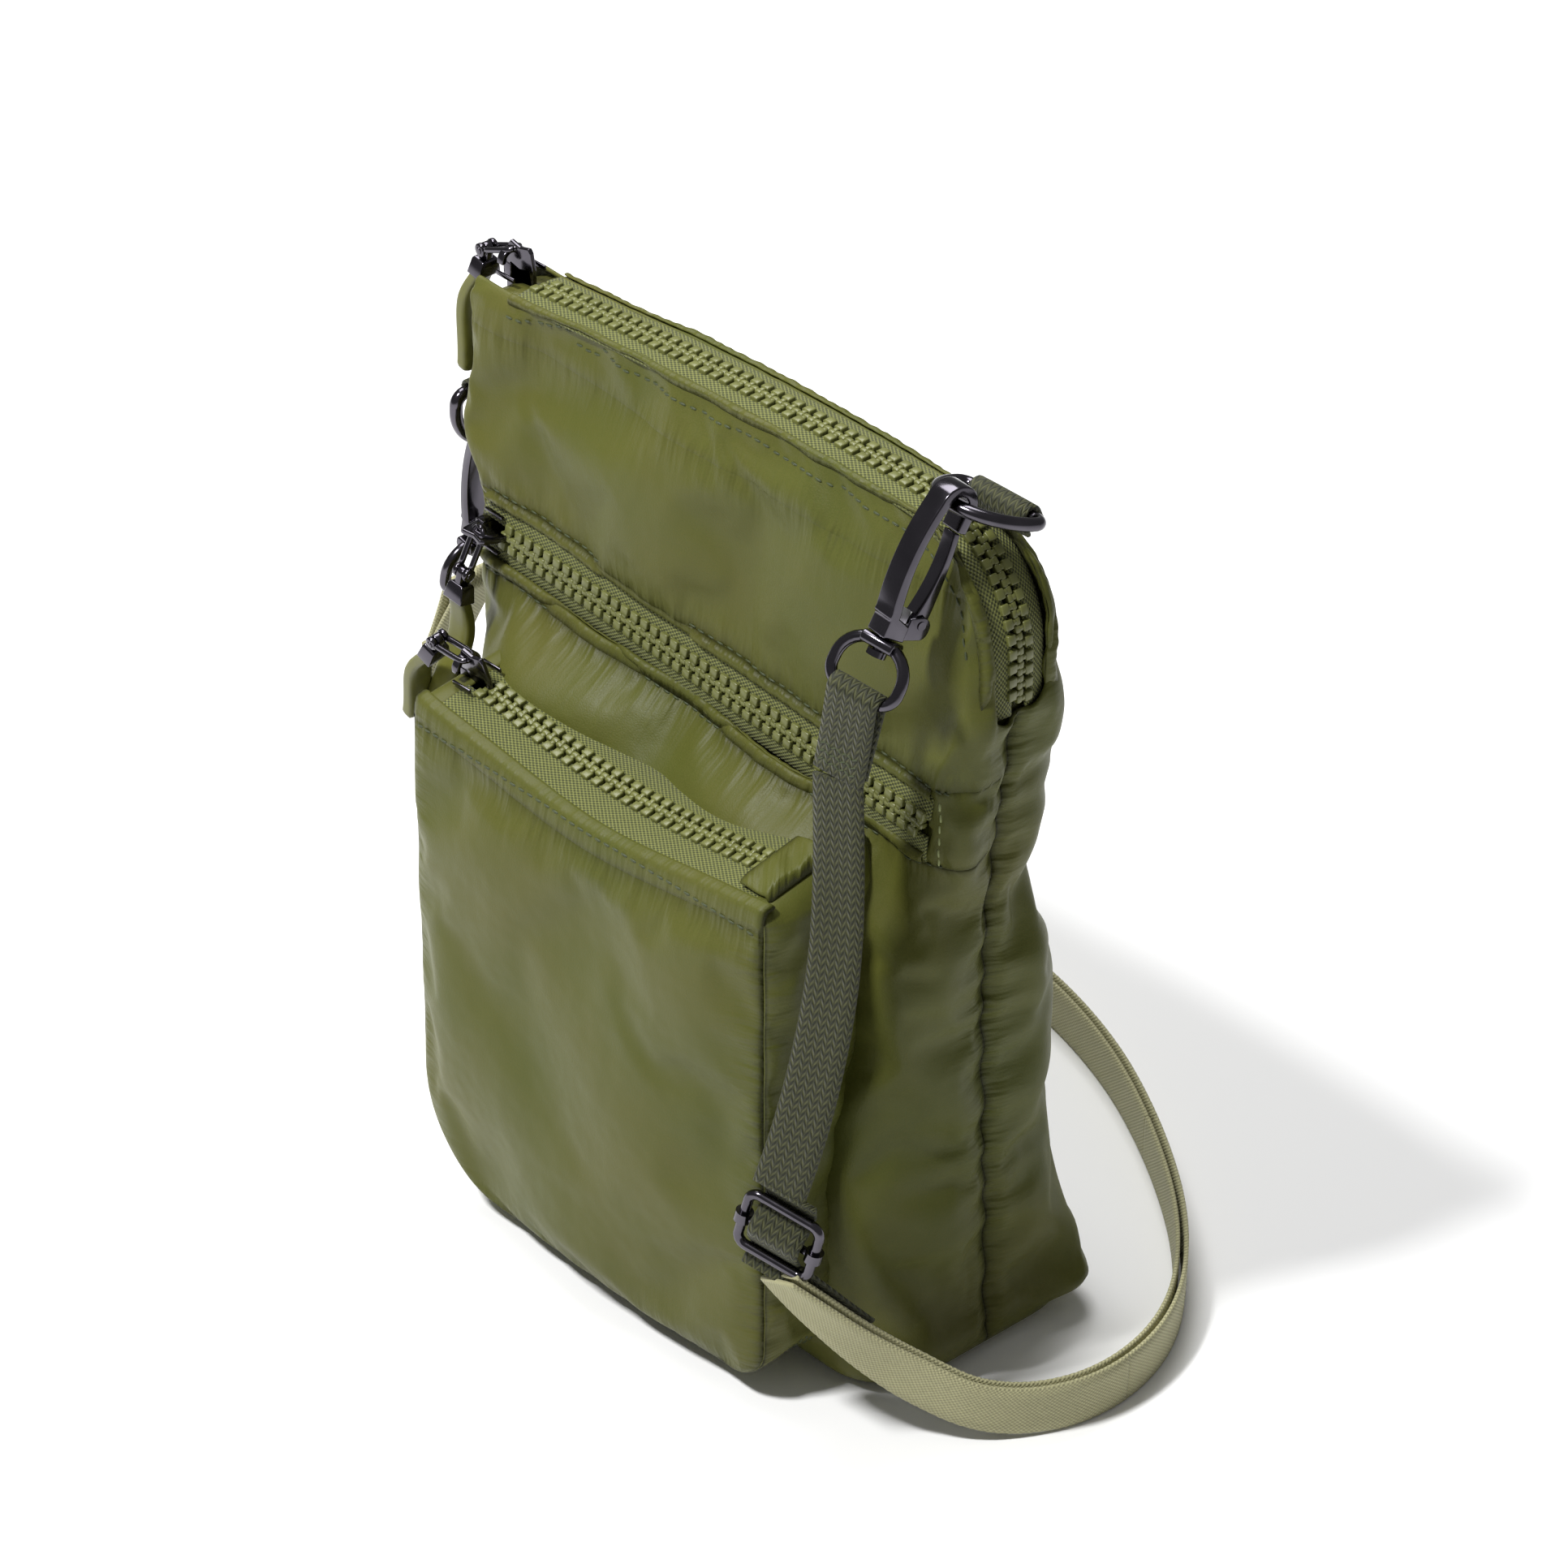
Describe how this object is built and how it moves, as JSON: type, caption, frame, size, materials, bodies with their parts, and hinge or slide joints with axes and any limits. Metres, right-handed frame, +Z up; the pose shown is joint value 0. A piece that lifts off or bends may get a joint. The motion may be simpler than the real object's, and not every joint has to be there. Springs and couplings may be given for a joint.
{
  "type": "crossbody purse",
  "caption": "Upright padded nylon crossbody pouch with zipped top, zipped front face and zipped patch pocket, and a webbing strap on swivel snap hooks.",
  "frame": {"origin": "Middle of the flat base, on the plane of the side seams.", "axes": "+Z up, front with the patch pocket faces -Y, +X to the viewer's right."},
  "size_m": [0.2719, 0.1933, 0.2673],
  "materials": {
    "shell_nylon": "matte",
    "lining_cloth": "matte",
    "webbing": "matte",
    "zip_tape": "matte",
    "zip_teeth": "satin",
    "pull_rubber": "matte",
    "gunmetal": "polished",
    "spring_steel": "satin"
  },
  "bodies": {
    "bag": {"back_panel": "shell_nylon", "front_panel_lower": "shell_nylon", "front_panel_upper": "shell_nylon", "left_ring_tab": "webbing", "main_lining": "lining_cloth", "mid_zip_facings": "shell_nylon", "mid_zip_pocket_bag": "lining_cloth", "mid_zip_tape_lower": "zip_tape", "mid_zip_tape_upper": "zip_tape", "mid_zip_teeth_lower": "zip_teeth", "mid_zip_teeth_upper": "zip_teeth", "pocket_gusset": "shell_nylon", "pocket_lining": "lining_cloth", "pocket_panel": "shell_nylon", "pocket_zip_end_tab": "shell_nylon", "pocket_zip_tape_back": "zip_tape", "pocket_zip_tape_front": "zip_tape", "pocket_zip_teeth_back": "zip_teeth", "pocket_zip_teeth_front": "zip_teeth", "right_ring_tab": "webbing", "strap_doubled": "webbing", "top_zip_tape_back": "zip_tape", "top_zip_tape_front": "zip_tape", "top_zip_teeth_back": "zip_teeth", "top_zip_teeth_front": "zip_teeth"},
    "top_slider": {"top_zip_slider": "gunmetal"},
    "top_pull_link": {"top_zip_pull_link": "gunmetal"},
    "top_pull": {"top_zip_pull_ferrule": "gunmetal", "top_zip_pull_tab": "pull_rubber"},
    "mid_slider": {"mid_zip_slider": "gunmetal"},
    "mid_pull_link": {"mid_zip_pull_link": "gunmetal"},
    "mid_pull": {"mid_zip_pull_ferrule": "gunmetal", "mid_zip_pull_tab": "pull_rubber"},
    "pocket_slider": {"pocket_zip_slider": "gunmetal"},
    "pocket_pull_link": {"pocket_zip_pull_link": "gunmetal"},
    "pocket_pull": {"pocket_zip_pull_ferrule": "gunmetal", "pocket_zip_pull_tab": "pull_rubber"},
    "right_ring": {"right_d_ring": "gunmetal"},
    "right_hook": {"right_snap_hook": "gunmetal", "right_gate_pin": "gunmetal", "right_swivel_rivet": "gunmetal", "right_gate_spring": "spring_steel", "strap_hanging": "webbing", "buckle_frame": "gunmetal", "buckle_centre_bar": "gunmetal"},
    "right_gate": {"right_gate": "gunmetal"},
    "right_eye": {"right_swivel_eye": "gunmetal", "strap_right_end": "webbing"},
    "left_ring": {"left_d_ring": "gunmetal"},
    "left_hook": {"left_snap_hook": "gunmetal", "left_gate_pin": "gunmetal", "left_swivel_rivet": "gunmetal", "left_gate_spring": "spring_steel"},
    "left_gate": {"left_gate": "gunmetal"},
    "left_eye": {"left_swivel_eye": "gunmetal", "strap_left_end": "webbing"}
  },
  "joints": [
    {"name": "top_zip_slide", "type": "slide", "parent": "bag", "child": "top_slider", "axis": [1, 0, 0], "range_m": [0, 0.144], "deforming": ["top_zip_teeth_front", "top_zip_teeth_back", "top_zip_pull_tab"]},
    {"name": "top_link_hinge", "type": "hinge", "parent": "top_slider", "child": "top_pull_link", "pos_m": [-0.0949, 0, 0.2555], "axis": [0, 1, 0], "range_deg": [0, 120]},
    {"name": "top_pull_hinge", "type": "hinge", "parent": "top_pull_link", "child": "top_pull", "pos_m": [-0.10516, 0, 0.25153], "axis": [0, 1, 0], "range_deg": [0, 60]},
    {"name": "mid_zip_slide", "type": "slide", "parent": "bag", "child": "mid_slider", "axis": [0.9976, -0.0079, -0.0693], "range_m": [0, 0.15], "deforming": ["mid_zip_teeth_lower", "mid_zip_teeth_upper", "mid_zip_pull_tab", "pocket_zip_tape_back", "pocket_zip_end_tab"]},
    {"name": "mid_link_hinge", "type": "hinge", "parent": "mid_slider", "child": "mid_pull_link", "pos_m": [-0.0819, -0.02452, 0.18431], "axis": [0.9976, -0.0079, -0.0693], "range_deg": [-90, 0]},
    {"name": "mid_pull_hinge", "type": "hinge", "parent": "mid_pull_link", "child": "mid_pull", "pos_m": [-0.08263, -0.02918, 0.17437], "axis": [0.9976, -0.0079, -0.0693], "range_deg": [-60, 0]},
    {"name": "pocket_zip_slide", "type": "slide", "parent": "bag", "child": "pocket_slider", "axis": [1, 0, 0], "range_m": [0, 0.1], "deforming": ["pocket_zip_teeth_front", "pocket_zip_teeth_back", "pocket_zip_pull_tab"]},
    {"name": "pocket_link_hinge", "type": "hinge", "parent": "pocket_slider", "child": "pocket_pull_link", "pos_m": [-0.0639, -0.04479, 0.1637], "axis": [0, 0.9781, 0.2079], "range_deg": [0, 110]},
    {"name": "pocket_pull_hinge", "type": "hinge", "parent": "pocket_pull_link", "child": "pocket_pull", "pos_m": [-0.0749, -0.04479, 0.1637], "axis": [0, 0.9781, 0.2079], "range_deg": [0, 60]},
    {"name": "right_ring_hinge", "type": "hinge", "parent": "bag", "child": "right_ring", "pos_m": [0.0846, 0.0054, 0.2554], "axis": [1, 0, 0], "range_deg": [-60, 0]},
    {"name": "right_hook_hinge", "type": "hinge", "parent": "right_ring", "child": "right_hook", "pos_m": [0.084, -0.0116, 0.2614], "axis": [0.9945, -0.1045, 0], "range_deg": [-60, 0]},
    {"name": "right_gate_hinge", "type": "hinge", "parent": "right_hook", "child": "right_gate", "pos_m": [0.08284, -0.02267, 0.23239], "axis": [0.9945, -0.1045, 0], "range_deg": [0, 14], "stiffness_Nm_per_rad": 0.01, "deforming": ["right_gate_spring"]},
    {"name": "right_swivel", "type": "hinge", "parent": "right_hook", "child": "right_eye", "pos_m": [0.08388, -0.01279, 0.26212], "axis": [0.0538, 0.5122, 0.8572], "continuous": true, "deforming": ["strap_hanging"]},
    {"name": "left_ring_hinge", "type": "hinge", "parent": "bag", "child": "left_ring", "pos_m": [-0.1085, 0.005, 0.209], "axis": [0, 1, 0], "range_deg": [0, 60]},
    {"name": "left_hook_hinge", "type": "hinge", "parent": "left_ring", "child": "left_hook", "pos_m": [-0.1103, 0.005, 0.1911], "axis": [0, -1, 0], "range_deg": [-60, 0]},
    {"name": "left_gate_hinge", "type": "hinge", "parent": "left_hook", "child": "left_gate", "pos_m": [-0.11113, 0.005, 0.16004], "axis": [0, -1, 0], "range_deg": [0, 14], "stiffness_Nm_per_rad": 0.01, "deforming": ["left_gate_spring"]},
    {"name": "left_swivel", "type": "hinge", "parent": "left_hook", "child": "left_eye", "pos_m": [-0.11167, 0.005, 0.19138], "axis": [0.2, 0, 0.9798], "continuous": true, "deforming": ["strap_doubled"]}
  ]
}
